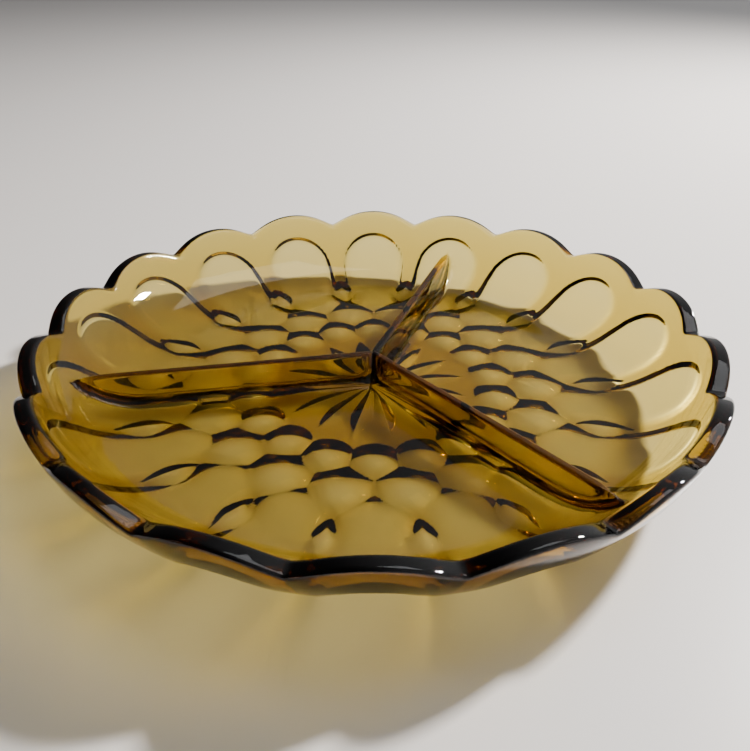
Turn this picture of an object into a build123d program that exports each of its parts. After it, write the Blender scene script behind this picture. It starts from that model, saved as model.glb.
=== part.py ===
"""Three-part relish dish in pressed glass: one shallow round dish with a scalloped rim.

Millimetres, +Z up. The origin is the centre of the base where it rests on the table. One
divider runs along -X, and the other two stand at equal angles from it.
"""

import math
import os

from build123d import *

# Rim
rim_height = 31.0  # table to the tip of a scallop
scallop_rise = 7.0  # notch to tip
scallop_count = 18
rim_edge_round = 1.5  # fire-polished inner and outer edges
notch_round = 2.0  # softened corner where two scallops meet

# Section through the floor and the side
dish_radius = 120.6  # where the outside curve would stand upright
inside_step = 4.6  # the inside curve would stand upright this much nearer the axis
floor_height = 5.2  # table to the floor inside
outer_sweep_spare = 4.8  # outside curve's radius beyond the rim's height
inner_sweep_spare = 9.2  # inside curve's radius beyond the side's height above the floor

# Dividers
divider_count = 3
divider_height = 12.4  # floor to the level top
divider_top_width = 3.4
divider_top_round = 1.2
divider_draft = 7.0  # lean of each side, in degrees
foot_height = 3.0  # where the side starts to flare into the floor
foot_flare = 2.0  # how far the flare spreads on each side

# Thumbprints pressed into the underside, each the mark of a ball
thumbprint_depth = 3.0
small_print_ball = 13.9
small_print_circle = 46.2  # radius of the circle their middles lie on
large_print_ball = 27.5
large_print_circle = 61.5

# Long ovals under the scallops, each the mark of a round-ended bar bent up the side
oval_depth = 2.4
oval_bar = 35.0
oval_inner_end = 74.5  # middle of the bar's inner end, from the axis
oval_outer_end = 43.0  # middle of its outer end, in degrees round the outside curve

# Leaves between the long ovals, each the mark of a ball
leaf_depth = 3.2
leaf_ball = 20.0
leaf_circle = 84.6

# Star pressed into the middle of the underside
petal_count = 16
star_radius = 33.8
petal_start = 2.0  # inner end, from the axis
petal_widest = 0.6  # where a petal is widest and deepest, as a share of the star's radius
petal_half_width = 3.7
petal_depth = 1.5

pitch = 360.0 / scallop_count
inner_sweep = rim_height - floor_height + inner_sweep_spare
outer_sweep = rim_height + outer_sweep_spare
floor_radius = dish_radius - inside_step - inner_sweep
base_radius = dish_radius - outer_sweep
notch_height = rim_height - scallop_rise
blank_height = rim_height + 1.5  # glass above the rim, trimmed away
reach = rim_height + dish_radius  # past everything, for tools that cut


def on_axis_circle(tool, count, first=0.0):
    """Copies of a tool at equal angles about the dish's axis."""
    step = 360.0 / count
    return [Rot(0, 0, first + i * step) * tool for i in range(count)]


def sweep_point(start_radius, start_height, sweep, height):
    """Point of an upward curve, tangent to the flat it starts from, at a height."""
    rise = height - start_height
    run = math.sqrt(sweep**2 - (sweep - rise) ** 2)
    return (start_radius + run, height)


def inside_at(height):
    return sweep_point(floor_radius, floor_height, inner_sweep, height)


def outside_at(height):
    return sweep_point(base_radius, 0.0, outer_sweep, height)


def side_blank():
    """The curved side, taller than the rim, turned about the axis."""
    middle = 0.5 * rim_height
    section = make_face(
        [
            Line((floor_radius, 0), (base_radius, 0)),
            ThreePointArc((base_radius, 0), outside_at(middle), outside_at(blank_height)),
            Line(outside_at(blank_height), inside_at(blank_height)),
            ThreePointArc(inside_at(blank_height), inside_at(middle), (floor_radius, floor_height)),
            Line((floor_radius, floor_height), (floor_radius, 0)),
        ]
    )
    return revolve(Plane.XZ * section, Axis.Z)


def scallop_arches():
    """Lying round bars whose tops are the scallops, over a disc that keeps the rest."""
    rim_radius = 0.5 * (inside_at(notch_height)[0] + outside_at(notch_height)[0])
    half_chord = rim_radius * math.sin(math.radians(0.5 * pitch))
    arch = (half_chord**2 + scallop_rise**2) / (2 * scallop_rise)
    bar = Pos(0.5 * rim_radius, 0, rim_height - arch) * Rot(0, 90, 0) * Cylinder(
        arch, rim_radius, align=(Align.CENTER, Align.CENTER, Align.MIN)
    )
    disc = Cylinder(reach, 0.5 * rim_height, align=(Align.CENTER, Align.CENTER, Align.MIN))
    return disc.fuse(*on_axis_circle(bar, scallop_count))


def fire_polished(side):
    """Rounds the notches first, so that the rim's two edges become smooth loops."""
    notches = [e for e in side.edges() if is_across_rim(e)]
    side = fillet(notches, notch_round)
    loops = [e for e in side.edges() if (e @ 0.5).Z > notch_height - 1.5 and not is_across_rim(e)]
    return fillet(loops, rim_edge_round)


def is_across_rim(edge):
    """Whether an edge runs across the thickness of the rim at a notch."""
    start, end = edge @ 0, edge @ 1
    across = abs(math.hypot(start.X, start.Y) - math.hypot(end.X, end.Y))
    return across > 3.0 and edge.length < 12.0 and start.Z > 0.5 * rim_height


def ball_mark(ball, depth, circle):
    """Ball that presses the flat underside to a depth, its middle on a circle."""
    return Pos(circle, 0, depth - ball) * Sphere(ball)


def oval_tool():
    """Bar along the underside, then bent up the outside curve, with ball ends."""
    flat = Pos(oval_inner_end, 0, oval_depth - oval_bar) * Rot(0, 90, 0) * Cylinder(
        oval_bar, base_radius - oval_inner_end, align=(Align.CENTER, Align.CENTER, Align.MIN)
    )
    bend = outer_sweep + oval_bar - oval_depth
    hub = (base_radius, 0, outer_sweep)
    mark = Plane(origin=(base_radius, 0, oval_depth - oval_bar), z_dir=(1, 0, 0)) * Circle(oval_bar)
    bent = revolve(mark, Axis(hub, (0, -1, 0)), oval_outer_end)
    inner = Pos(oval_inner_end, 0, oval_depth - oval_bar) * Sphere(oval_bar)
    turn = math.radians(oval_outer_end)
    end = (base_radius + bend * math.sin(turn), 0, outer_sweep - bend * math.cos(turn))
    return flat + bent + inner + Pos(end) * Sphere(oval_bar)


def petal_tool():
    """Kite-shaped pyramid: long inner end, short pointed outer end, deepest at its widest."""
    widest = petal_widest * star_radius
    kite = Polyline(
        (petal_start, 0), (widest, petal_half_width), (star_radius, 0), (widest, -petal_half_width),
        close=True,
    )
    return pyramid(kite, (widest, 0, petal_depth))


def pyramid(outline, peak):
    """Solid from a flat outline at table height up to a peak."""
    base = make_face(outline)
    sides = [
        make_face(Polyline(edge @ 0, edge @ 1, peak, close=True)) for edge in outline.edges()
    ]
    return Solid(Shell([base, *sides]))


def divider_blank():
    """Level-topped ridge along +X, from the axis to past the rim."""
    top = 0.5 * divider_top_width
    lean = math.tan(math.radians(divider_draft))
    knee = top + (divider_height - foot_height) * lean
    foot = knee + foot_height * lean + foot_flare
    section = make_face(
        Polyline(
            (-foot, 0), (-knee, foot_height), (-top, divider_height),
            (top, divider_height), (knee, foot_height), (foot, 0), close=True,
        )
    )
    ridge = extrude(Plane.YZ * section, reach)
    upper = [e for e in ridge.edges().filter_by(Axis.X) if (e @ 0.5).Z > divider_height - 0.1]
    return Pos(0, 0, floor_height) * fillet(upper, divider_top_round)


def sector():
    """Third of the room about +X, so that the dividers meet edge to edge at the axis."""
    half = math.radians(180.0 / divider_count)
    x, y = reach * math.cos(half), reach * math.sin(half)
    return extrude(make_face(Polyline((0, 0), (x, -y), (reach, 0), (x, y), close=True)), reach)


def inside_room():
    """Everything above the inside surface."""
    middle = 0.5 * rim_height
    section = make_face(
        [
            Line((0, floor_height), (floor_radius, floor_height)),
            ThreePointArc((floor_radius, floor_height), inside_at(middle), inside_at(blank_height)),
            Line(inside_at(blank_height), (0, blank_height)),
            Line((0, blank_height), (0, floor_height)),
        ]
    )
    return revolve(Plane.XZ * section, Axis.Z)


small_prints = on_axis_circle(
    ball_mark(small_print_ball, thumbprint_depth, small_print_circle), scallop_count
)
large_prints = on_axis_circle(
    ball_mark(large_print_ball, thumbprint_depth, large_print_circle), scallop_count, pitch / 2
)
leaves = on_axis_circle(ball_mark(leaf_ball, leaf_depth, leaf_circle), scallop_count, pitch / 2)
ovals = on_axis_circle(oval_tool(), scallop_count)
petals = on_axis_circle(petal_tool(), petal_count)

floor = Cylinder(floor_radius, floor_height, align=(Align.CENTER, Align.CENTER, Align.MIN))
floor = floor.cut(*petals, *small_prints, *large_prints, *ovals, *leaves)

side = fire_polished(side_blank() & scallop_arches())
side = side.cut(*large_prints, *ovals, *leaves)

divider = divider_blank() & inside_room() & sector()

os.makedirs("parts", exist_ok=True)
export_step(floor, "parts/floor_plate.step")
export_step(side, "parts/scalloped_side.step")
for name, angle in (("left", 180.0), ("right", 300.0), ("rear", 60.0)):
    export_step(Rot(0, 0, angle) * divider, f"parts/divider_{name}.step")
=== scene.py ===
import math

import bpy
import numpy as np
from mathutils import Matrix, Vector


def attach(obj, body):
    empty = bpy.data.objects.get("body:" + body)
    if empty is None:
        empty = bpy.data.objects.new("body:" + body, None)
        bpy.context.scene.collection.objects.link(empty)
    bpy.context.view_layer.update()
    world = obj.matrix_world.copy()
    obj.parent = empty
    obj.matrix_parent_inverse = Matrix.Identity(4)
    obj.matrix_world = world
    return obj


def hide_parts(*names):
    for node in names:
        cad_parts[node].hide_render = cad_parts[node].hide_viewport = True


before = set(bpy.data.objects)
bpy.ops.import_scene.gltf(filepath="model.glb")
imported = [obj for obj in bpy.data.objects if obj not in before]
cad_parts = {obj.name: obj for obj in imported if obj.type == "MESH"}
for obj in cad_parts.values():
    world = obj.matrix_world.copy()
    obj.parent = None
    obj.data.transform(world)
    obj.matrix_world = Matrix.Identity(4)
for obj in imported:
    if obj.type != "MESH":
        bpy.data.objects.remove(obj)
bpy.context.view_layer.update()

# ---------------------------------------------------------------------------
# Dish: inside surface.
# One pressing of amber glass. The plunger leaves the inside smooth: a flat floor that sweeps up
# to the rim, and three level-topped dividers with rounded tops and filleted feet.
# The part made here is the third of the dish about one divider, which lies along +X.
# ---------------------------------------------------------------------------
MM = 0.001
THIRD = math.radians(120)
STEPS = 180  # steps round the third, a whole number between notches
FLOOR_Z, FLOOR_R = 5.2, 81.0  # flat part of the floor inside
BASE_R = 84.7  # flat part of the underside
INNER_SWEEP, OUTER_SWEEP = 35.0, 35.7  # radii of the curves up to the rim
NOTCH_Z, TIP_Z = 24.0, 30.98  # lowest and highest points of the scallops
SCALLOP_PITCH = math.radians(20)
DIVIDER_TOP_Z = 17.6
DIVIDER_HALF, DIVIDER_LEAN = 1.55, math.radians(7)  # half breadth at the top, lean of each side
DIVIDER_DROP = 1.6  # how far the top sinks where it runs into the side
TOP_ROUND, FOOT_ROUND = 1.2, 3.2
RIM_ROUND = 1.6
RIM_MEAN_R = 115.3  # middle of the rim's thickness, where the scallops are struck
NOTCH_FILL, NOTCH_REACH = 1.1, 2.2  # how far fire polishing fills a notch, up and along
HUB_R = 13.0  # the dividers' feet crowd together inside this
FLOOR_ROWS_R = 80.0  # rows of points lie closer together beyond this
RELEASE_R, LIP_START_R = 100.0, 106.0  # where the rows of points stop following the divider


def inside_height(r):
    """Height of the inside surface without dividers."""
    run = np.clip(r - FLOOR_R, 0, INNER_SWEEP)
    return FLOOR_Z + INNER_SWEEP - np.sqrt(INNER_SWEEP**2 - run**2)


def inside_radius(z):
    rise = z - FLOOR_Z
    return FLOOR_R + np.sqrt(INNER_SWEEP**2 - (INNER_SWEEP - rise) ** 2)


def outside_radius(z):
    return BASE_R + np.sqrt(OUTER_SWEEP**2 - (OUTER_SWEEP - z) ** 2)


def rim_height(angle):
    """Height of the scalloped rim: round arches that meet in softened notches."""
    off = np.abs((angle + SCALLOP_PITCH / 2) % SCALLOP_PITCH - SCALLOP_PITCH / 2)
    chord, rise = RIM_MEAN_R * math.sin(SCALLOP_PITCH / 2), TIP_Z - NOTCH_Z
    arch = (chord**2 + rise**2) / (2 * rise)
    z = TIP_Z - arch + np.sqrt(arch**2 - (RIM_MEAN_R * np.sin(off)) ** 2)
    to_notch = RIM_MEAN_R * (SCALLOP_PITCH / 2 - off)
    return z + NOTCH_FILL * np.exp(-to_notch / NOTCH_REACH)


def divider_profile(foot_z):
    """Sizes of the divider's section where its foot is at a height, less near the side."""
    climbed = (foot_z - FLOOR_Z) / (DIVIDER_TOP_Z - FLOOR_Z)
    tall = max(DIVIDER_TOP_Z - DIVIDER_DROP * climbed**2 - foot_z, 0.02)
    shrink = min(1.0, tall / (0.9 * (TOP_ROUND + FOOT_ROUND)))
    top, foot, lean = TOP_ROUND * shrink, FOOT_ROUND * shrink, math.tan(DIVIDER_LEAN)
    half = DIVIDER_HALF * min(1.0, 0.15 + tall / 9.0)
    c = math.cos(DIVIDER_LEAN)
    top_s = half + top * lean - top / c
    foot_s = half + (tall - foot) * lean + foot / c
    return tall, top, foot, top_s, foot_s, top_s + top * c, foot_s - foot * c, half, lean


def divider_z(across, foot_z):
    tall, top, foot, top_s, foot_s, side0, side1, half, lean = divider_profile(foot_z)
    peak = foot_z + tall
    a = np.abs(across)
    z = np.where(a <= top_s, peak, foot_z)
    corner = (a > top_s) & (a <= side0)
    z = np.where(corner, peak - top + np.sqrt(np.clip(top**2 - (a - top_s) ** 2, 0, None)), z)
    side = (a > side0) & (a <= side1)
    z = np.where(side, peak - (a - half) / lean, z)
    fillet = (a > side1) & (a < foot_s)
    z = np.where(fillet, foot_z + foot - np.sqrt(np.clip(foot**2 - (foot_s - a) ** 2, 0, None)), z)
    return z


def divider_stations(foot_z, room):
    """Distances across the divider where its section needs points, then on to the third's edge."""
    tall, top, foot, top_s, foot_s, side0, side1, half, lean = divider_profile(foot_z)
    bend = np.linspace(0, 1, 6)
    s = [0.0, 0.5 * max(top_s, 0.02)]
    s += list(top_s + (side0 - top_s) * np.sin(bend * math.pi / 2))
    s += list(np.linspace(side0, side1, 5)[1:])
    s += list(foot_s - (foot_s - side1) * np.cos(bend[1:] * math.pi / 2))
    s = np.array(s)
    if s[-1] > 0.8 * room:
        s = s * 0.8 * room / s[-1]
    rest = STEPS // 2 + 1 - len(s)
    return np.concatenate([s, np.linspace(s[-1], room, rest + 1)[1:]])


def inside_rows():
    """Rows of points from the axis to just under the rim, each across the third."""
    even = np.linspace(-THIRD / 2, THIRD / 2, STEPS + 1)
    lip = rim_height(even) - RIM_ROUND
    radii = np.concatenate(
        [
            np.linspace(0.0, HUB_R, 9),
            np.linspace(HUB_R, FLOOR_ROWS_R, 19)[1:],
            np.linspace(FLOOR_ROWS_R, LIP_START_R, 16)[1:],
        ]
    )
    rows = []
    for r in radii:
        if r < 1e-9:
            rows.append(np.tile([0.0, 0.0, DIVIDER_TOP_Z], (STEPS + 1, 1)))
            continue
        foot_z = float(inside_height(np.array(r)))
        half_row = divider_stations(foot_z, r * THIRD / 2) / r
        ang = np.concatenate([-half_row[::-1], half_row[1:]])
        release = np.clip((r - RELEASE_R) / (LIP_START_R - RELEASE_R), 0, 1)
        ang = ang * (1 - release) + even * release
        across = r * np.sin(np.abs(ang))
        z = divider_z(across, foot_z)
        rows.append(np.stack([r * np.cos(ang), r * np.sin(ang), z], 1))
    start = float(inside_height(np.array(LIP_START_R)))
    for f in np.linspace(0, 1, 9)[1:]:
        z = start + (lip - start) * f
        r = inside_radius(z)
        rows.append(np.stack([r * np.cos(even), r * np.sin(even), z], 1))
    return rows


# ---------------------------------------------------------------------------
# Dish: rim.
# The rim is fire polished: a narrow level land with both of its edges rounded over.
# ---------------------------------------------------------------------------
def rim_rows():
    even = np.linspace(-THIRD / 2, THIRD / 2, STEPS + 1)
    top = rim_height(even)
    under = top - RIM_ROUND
    r_in, r_out = inside_radius(top), outside_radius(top)
    corners = (
        (inside_radius(under), under, r_in, top, r_in + RIM_ROUND, top),
        (r_out - RIM_ROUND, top, r_out, top, outside_radius(under), under),
    )
    rows = []
    for r0, z0, r1, z1, r2, z2 in corners:
        for t in np.linspace(0, 1, 7):
            r = (1 - t) ** 2 * r0 + 2 * t * (1 - t) * r1 + t**2 * r2
            z = (1 - t) ** 2 * z0 + 2 * t * (1 - t) * z1 + t**2 * z2
            rows.append(np.stack([r * np.cos(even), r * np.sin(even), z], 1))
    return rows[1:-1]


# ---------------------------------------------------------------------------
# Dish: outside surface.
# The mould presses the pattern in from outside: two rings of thumbprints under the floor, long
# ovals that run up to an arch under every scallop, and a leaf between each pair of ovals.
# Every mark is a shallow hollow, and where two meet they leave a ridge.
# ---------------------------------------------------------------------------
# "Along" is a distance over the outside surface from the axis, and so are the circles' radii.
PRINT_DEPTH = 3.0
SMALL_BALL, SMALL_CIRCLE = 13.9, 46.2  # ball that leaves the mark, circle its middle lies on
LARGE_BALL, LARGE_CIRCLE = 27.5, 61.5
OVAL_DEPTH = 2.4
OVAL_HALF, OVAL_TOP_HALF = 13.0, 15.2  # half breadth at the lower end and at the arch
OVAL_START, OVAL_END = 74.5, 109.3  # ends of the oval's middle line
OVAL_WIDENS, OVAL_WIDE = 82.0, 104.0  # the oval widens between these
OVAL_STEEP, OVAL_TOP_STEEP = 3.5, 13.0  # how upright an oval's wall is, low down and round its arch
LEAF_CIRCLE = 84.6
LEAF_DEPTH, LEAF_HALF, LEAF_REACH = 3.3, 6.8, 10.8  # a leaf's depth, half breadth and half length
LEAF_STEEP = 1.6  # how upright a leaf's wall is
RIDGE_SOFT = 0.06  # how far a ridge between two marks is rounded
ARCH_CLEAR, ARCH_FOOT = 125.6, 119.0  # rows of points lie closest across the tops of the arches
LEAF_END = 96.0
RING_OUTER, RING_INNER = 37.0, 34.0  # plain ring between the thumbprints and the star


def outside_point(along, angle):
    """Point and outward normal of the plain outside surface, by distance along it from the axis."""
    turn = np.clip((along - BASE_R) / OUTER_SWEEP, 0, None)
    r = np.minimum(along, BASE_R) + OUTER_SWEEP * np.sin(turn)
    z = OUTER_SWEEP * (1 - np.cos(turn))
    c, s = np.cos(angle), np.sin(angle)
    point = np.stack([r * c, r * s, z], -1)
    normal = np.stack([np.sin(turn) * c, np.sin(turn) * s, -np.cos(turn)], -1)
    return point, normal, r


def mark_depth(along, angle):
    """How far the pattern is pressed in at each point."""
    _, _, r = outside_point(along, angle)
    to_scallop = (angle + SCALLOP_PITCH / 2) % SCALLOP_PITCH - SCALLOP_PITCH / 2
    to_notch = angle % SCALLOP_PITCH - SCALLOP_PITCH / 2
    x_s, x_n = r * np.sin(to_scallop), r * np.sin(to_notch)
    small = PRINT_DEPTH - (x_s**2 + (along - SMALL_CIRCLE) ** 2) / (2 * SMALL_BALL)
    large = PRINT_DEPTH - (x_n**2 + (along - LARGE_CIRCLE) ** 2) / (2 * LARGE_BALL)
    past = along - np.clip(along, OVAL_START, OVAL_END)
    climb = np.clip((along - OVAL_WIDENS) / (OVAL_WIDE - OVAL_WIDENS), 0, 1)
    half = OVAL_HALF + (OVAL_TOP_HALF - OVAL_HALF) * climb
    steep = OVAL_STEEP + (OVAL_TOP_STEEP - OVAL_STEEP) * climb
    oval = OVAL_DEPTH * (1 - (np.hypot(x_s, past) / half) ** steep)
    lens = np.abs(x_n) / LEAF_HALF + ((along - LEAF_CIRCLE) / LEAF_REACH) ** 2
    leaf = LEAF_DEPTH * (1 - lens**LEAF_STEEP)
    stack = np.stack([small, large, oval, leaf, np.zeros_like(small)])
    peak = stack.max(axis=0)
    soft = RIDGE_SOFT * np.log(np.exp((stack - peak) / RIDGE_SOFT).sum(axis=0))
    return peak + soft


def outside_rows():
    """Rows of points from just under the rim down and in to the axis."""
    even = np.linspace(-THIRD / 2, THIRD / 2, STEPS + 1)
    lip = rim_height(even) - RIM_ROUND
    lip_along = BASE_R + OUTER_SWEEP * np.arccos(1 - lip / OUTER_SWEEP)
    along_rows = [ARCH_CLEAR + (lip_along - ARCH_CLEAR) * f for f in np.linspace(1, 0, 5)[:-1]]
    steps = [
        np.linspace(ARCH_CLEAR, ARCH_FOOT, 13),
        np.linspace(ARCH_FOOT, LEAF_END, 25)[1:],
        np.linspace(LEAF_END, RING_OUTER, 54)[1:],
        np.linspace(RING_OUTER, RING_INNER, 3)[1:],
        np.linspace(RING_INNER, 0, 24)[1:],
    ]
    along_rows += [np.full_like(even, a) for a in np.concatenate(steps)]
    rows = []
    for along in along_rows:
        point, normal, _ = outside_point(along, even)
        rows.append(point - normal * mark_depth(along, even)[:, None])
    return rows


def third_mesh():
    """The third as one sheet: inside, over the rim, and back along the outside."""
    rows = inside_rows() + rim_rows() + outside_rows()
    points = np.concatenate(rows) * MM
    width = STEPS + 1
    faces = []
    for i in range(len(rows) - 1):
        for j in range(STEPS):
            a = i * width + j
            faces.append((a, a + width, a + width + 1, a + 1))
    mesh = bpy.data.meshes.new("dish third")
    mesh.from_pydata([tuple(p) for p in points], [], faces)
    mesh.update()
    return mesh


# ---------------------------------------------------------------------------
# Dish: the whole.
# Three equal thirds make the dish. The star in the middle of the underside has sixteen pointed
# petals, so it is pressed into the whole dish once the thirds are together.
# ---------------------------------------------------------------------------
def node(tree, kind, **values):
    made = tree.nodes.new(kind)
    for name, value in values.items():
        setattr(made, name, value)
    return made


def maths(tree, operation, a, b=None):
    """Maths node; a and b are sockets or numbers."""
    made = node(tree, "ShaderNodeMath", operation=operation)
    for i, value in enumerate((a, b)):
        if value is None:
            continue
        if isinstance(value, (int, float)):
            made.inputs[i].default_value = value
        else:
            tree.links.new(value, made.inputs[i])
    return made.outputs[0]


def dish_tree(material):
    tree = bpy.data.node_groups.new("dish from thirds", "GeometryNodeTree")
    face = tree.interface
    face.new_socket("Geometry", in_out="INPUT", socket_type="NodeSocketGeometry")
    face.new_socket("Thirds", in_out="INPUT", socket_type="NodeSocketInt")
    face.new_socket("Petals", in_out="INPUT", socket_type="NodeSocketInt")
    face.new_socket("Star Radius", in_out="INPUT", socket_type="NodeSocketFloat")
    face.new_socket("Petal Half Width", in_out="INPUT", socket_type="NodeSocketFloat")
    face.new_socket("Petal Depth", in_out="INPUT", socket_type="NodeSocketFloat")
    face.new_socket("Geometry", in_out="OUTPUT", socket_type="NodeSocketGeometry")
    given = node(tree, "NodeGroupInput").outputs
    link = tree.links.new

    line = node(tree, "GeometryNodeMeshLine", mode="OFFSET")
    link(given["Thirds"], line.inputs["Count"])
    line.inputs["Offset"].default_value = (0, 0, 0)
    points = node(tree, "GeometryNodeMeshToPoints")
    link(line.outputs[0], points.inputs[0])
    index = node(tree, "GeometryNodeInputIndex").outputs[0]
    turn = maths(tree, "DIVIDE", 2 * math.pi, given["Thirds"])
    angle = maths(tree, "ADD", maths(tree, "MULTIPLY", index, turn), math.pi)
    spin = node(tree, "ShaderNodeCombineXYZ")
    link(angle, spin.inputs["Z"])
    copies = node(tree, "GeometryNodeInstanceOnPoints")
    link(points.outputs[0], copies.inputs["Points"])
    link(given["Geometry"], copies.inputs["Instance"])
    link(spin.outputs[0], copies.inputs["Rotation"])
    real = node(tree, "GeometryNodeRealizeInstances")
    link(copies.outputs[0], real.inputs[0])
    merged = node(tree, "GeometryNodeMergeByDistance")
    merged.inputs["Distance"].default_value = 2e-6
    link(real.outputs[0], merged.inputs["Geometry"])

    place = node(tree, "GeometryNodeInputPosition")
    parts = node(tree, "ShaderNodeSeparateXYZ")
    link(place.outputs[0], parts.inputs[0])
    x, y, z = parts.outputs
    square = maths(tree, "ADD", maths(tree, "MULTIPLY", x, x), maths(tree, "MULTIPLY", y, y))
    r = maths(tree, "SQRT", square)
    around = maths(tree, "ARCTAN2", y, x)
    gap = maths(tree, "DIVIDE", 2 * math.pi, given["Petals"])
    nearest = maths(tree, "ROUND", maths(tree, "DIVIDE", around, gap))
    off = maths(tree, "SUBTRACT", around, maths(tree, "MULTIPLY", nearest, gap))
    across = maths(tree, "MULTIPLY", r, maths(tree, "SINE", off))
    # breadth of a petal grows from the axis to a little past half way, then closes to a point
    share = maths(tree, "DIVIDE", r, given["Star Radius"])
    left = maths(tree, "SUBTRACT", 1.0, maths(tree, "POWER", share, 3.6))
    growth = maths(tree, "ADD", maths(tree, "MULTIPLY", share, 0.55), 0.75)
    spread = maths(tree, "MULTIPLY", maths(tree, "MAXIMUM", left, 0.0), growth)
    half = maths(tree, "MULTIPLY", given["Petal Half Width"], spread)
    groove = maths(tree, "SUBTRACT", half, maths(tree, "ABSOLUTE", across))
    level = maths(tree, "DIVIDE", maths(tree, "MAXIMUM", groove, 0.0), given["Petal Half Width"])
    lift = maths(tree, "MULTIPLY", given["Petal Depth"], level)
    shift = node(tree, "ShaderNodeCombineXYZ")
    link(lift, shift.inputs["Z"])
    under = maths(tree, "LESS_THAN", z, 0.001)
    starred = node(tree, "GeometryNodeSetPosition")
    link(merged.outputs[0], starred.inputs["Geometry"])
    link(under, starred.inputs["Selection"])
    link(shift.outputs[0], starred.inputs["Offset"])
    smooth = node(tree, "GeometryNodeSetShadeSmooth")
    link(starred.outputs[0], smooth.inputs["Geometry"])
    painted = node(tree, "GeometryNodeSetMaterial")
    painted.inputs["Material"].default_value = material
    link(smooth.outputs[0], painted.inputs["Geometry"])
    out = node(tree, "NodeGroupOutput")
    link(painted.outputs[0], out.inputs[0])
    return tree


def amber_glass():
    """Honey-amber soda glass, coloured through its depth, with the faint waviness of a pressing."""
    material = bpy.data.materials.new("amber glass")
    material.use_nodes = True
    tree = material.node_tree
    glass = tree.nodes["Principled BSDF"]
    glass.inputs["Roughness"].default_value = 0.015
    glass.inputs["IOR"].default_value = 1.5
    glass.inputs["Transmission Weight"].default_value = 1.0
    coords = node(tree, "ShaderNodeTexCoord")
    wave = node(tree, "ShaderNodeTexNoise")
    wave.inputs["Scale"].default_value = 55.0
    wave.inputs["Detail"].default_value = 1.0
    tree.links.new(coords.outputs["Object"], wave.inputs["Vector"])
    bump = node(tree, "ShaderNodeBump")
    bump.inputs["Strength"].default_value = 0.05
    bump.inputs["Distance"].default_value = 0.001
    tree.links.new(wave.outputs["Fac"], bump.inputs["Height"])
    tree.links.new(bump.outputs["Normal"], glass.inputs["Normal"])
    tint = node(tree, "ShaderNodeMix", data_type="RGBA")
    tint.inputs["A"].default_value = (1.0, 0.97, 0.88, 1)
    tint.inputs["B"].default_value = (1.0, 0.99, 0.95, 1)
    tree.links.new(wave.outputs["Fac"], tint.inputs["Factor"])
    tree.links.new(tint.outputs["Result"], glass.inputs["Base Color"])
    depth = node(tree, "ShaderNodeVolumeAbsorption")
    depth.inputs["Color"].default_value = (0.852, 0.766, 0.24, 1)
    depth.inputs["Density"].default_value = 470.0
    tree.links.new(depth.outputs[0], tree.nodes["Material Output"].inputs["Volume"])
    return material


def plain_copy(ob, name):
    """The evaluated object as a plain mesh, with its modifier gone."""
    mesh = bpy.data.meshes.new_from_object(ob.evaluated_get(bpy.context.evaluated_depsgraph_get()))
    mesh.name = name
    made = bpy.data.objects.new(name, mesh)
    bpy.context.scene.collection.objects.link(made)
    bpy.data.objects.remove(ob)
    return made


blank = bpy.data.objects.new("dish third", third_mesh())
bpy.context.scene.collection.objects.link(blank)
repeat = blank.modifiers.new("dish", "NODES")
repeat.node_group = dish_tree(amber_glass())
inputs = {s.name: s.identifier for s in repeat.node_group.interface.items_tree if s.in_out == "INPUT"}
for name, value in (
    ("Thirds", 3),
    ("Petals", 16),
    ("Star Radius", 33.8 * MM),
    ("Petal Half Width", 4.4 * MM),
    ("Petal Depth", 2.6 * MM),
):
    repeat[inputs[name]] = value
dish = plain_copy(blank, "dish")
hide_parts("floor_plate", "scalloped_side", "divider_left", "divider_right", "divider_rear")
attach(dish, "root")

# ---------------------------------------------------------------------------
# Table: a pale plain top, wide enough to fill the view.
# ---------------------------------------------------------------------------
table_mesh = bpy.data.meshes.new("table")
reach = 4.0
drop = -0.00015  # clears the base, so that the two surfaces never coincide
corners = [(x, y, drop) for x, y in ((-reach, -reach), (reach, -reach), (reach, reach), (-reach, reach))]
table_mesh.from_pydata(corners, [], [(0, 1, 2, 3)])
table = bpy.data.objects.new("table", table_mesh)
bpy.context.scene.collection.objects.link(table)
top = bpy.data.materials.new("pale table")
top.use_nodes = True
top.node_tree.nodes["Principled BSDF"].inputs["Base Color"].default_value = (0.74, 0.71, 0.70, 1)
top.node_tree.nodes["Principled BSDF"].inputs["Roughness"].default_value = 0.35
table_mesh.materials.append(top)

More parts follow.
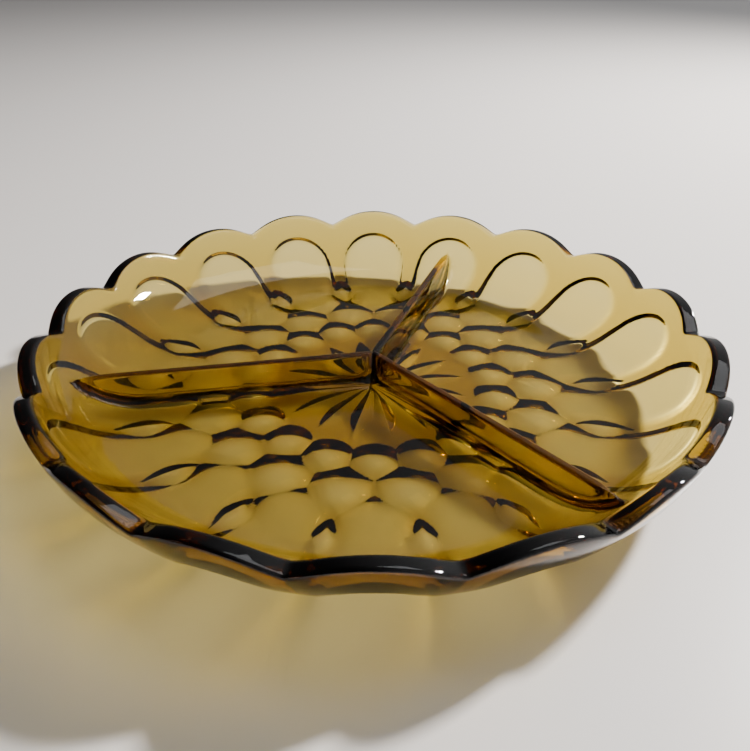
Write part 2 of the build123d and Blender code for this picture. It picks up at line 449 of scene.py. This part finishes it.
# ---------------------------------------------------------------------------
# Light: a small lamp to the right, a ceiling panel above it, and a room that is dim on the left.
# ---------------------------------------------------------------------------
def lamp(name, place, aim, width, power, colour):
    light = bpy.data.lights.new(name, "AREA")
    light.size = width
    light.energy = power
    light.color = colour
    ob = bpy.data.objects.new(name, light)
    ob.location = place
    ob.rotation_euler = (Vector(aim) - Vector(place)).to_track_quat("-Z", "Y").to_euler()
    bpy.context.scene.collection.objects.link(ob)
    return ob


lamp("key", (0.95, 0.35, 0.72), (0, 0, 0), 0.1, 46.0, (1.0, 0.96, 0.9))
lamp("ceiling", (0.75, 0.35, 1.9), (0.1, 0, 0), 1.0, 6.3, (0.97, 0.98, 1.0))
world = bpy.data.worlds.new("room")
world.use_nodes = True
backdrop = world.node_tree.nodes["Background"]
way = node(world.node_tree, "ShaderNodeTexCoord")
sides = node(world.node_tree, "ShaderNodeSeparateXYZ")
world.node_tree.links.new(way.outputs["Generated"], sides.inputs[0])
fade = node(world.node_tree, "ShaderNodeMapRange", interpolation_type="SMOOTHSTEP")
fade.inputs["From Min"].default_value = -0.5
fade.inputs["From Max"].default_value = 1.0
fade.inputs["To Min"].default_value = 0.03
fade.inputs["To Max"].default_value = 0.60
world.node_tree.links.new(sides.outputs["X"], fade.inputs["Value"])
world.node_tree.links.new(fade.outputs[0], backdrop.inputs["Color"])
bpy.context.scene.world = world

# ---------------------------------------------------------------------------
# Camera: close, a little over 30 degrees above the table.
# ---------------------------------------------------------------------------
camera = bpy.data.objects.new("camera", bpy.data.cameras.new("camera"))
camera.data.sensor_width = 36.0
camera.data.lens = 34.81
camera.data.clip_start = 0.01
eye = Vector((-0.04126, -0.22903, 0.14903))
aim = Vector((-0.004536, -0.026941, 0.024))
look = (aim - eye).to_track_quat("-Z", "Y").to_matrix().to_4x4()
camera.matrix_world = Matrix.Translation(eye) @ look @ Matrix.Rotation(math.radians(0.19), 4, "Z")
bpy.context.scene.collection.objects.link(camera)
bpy.context.scene.camera = camera
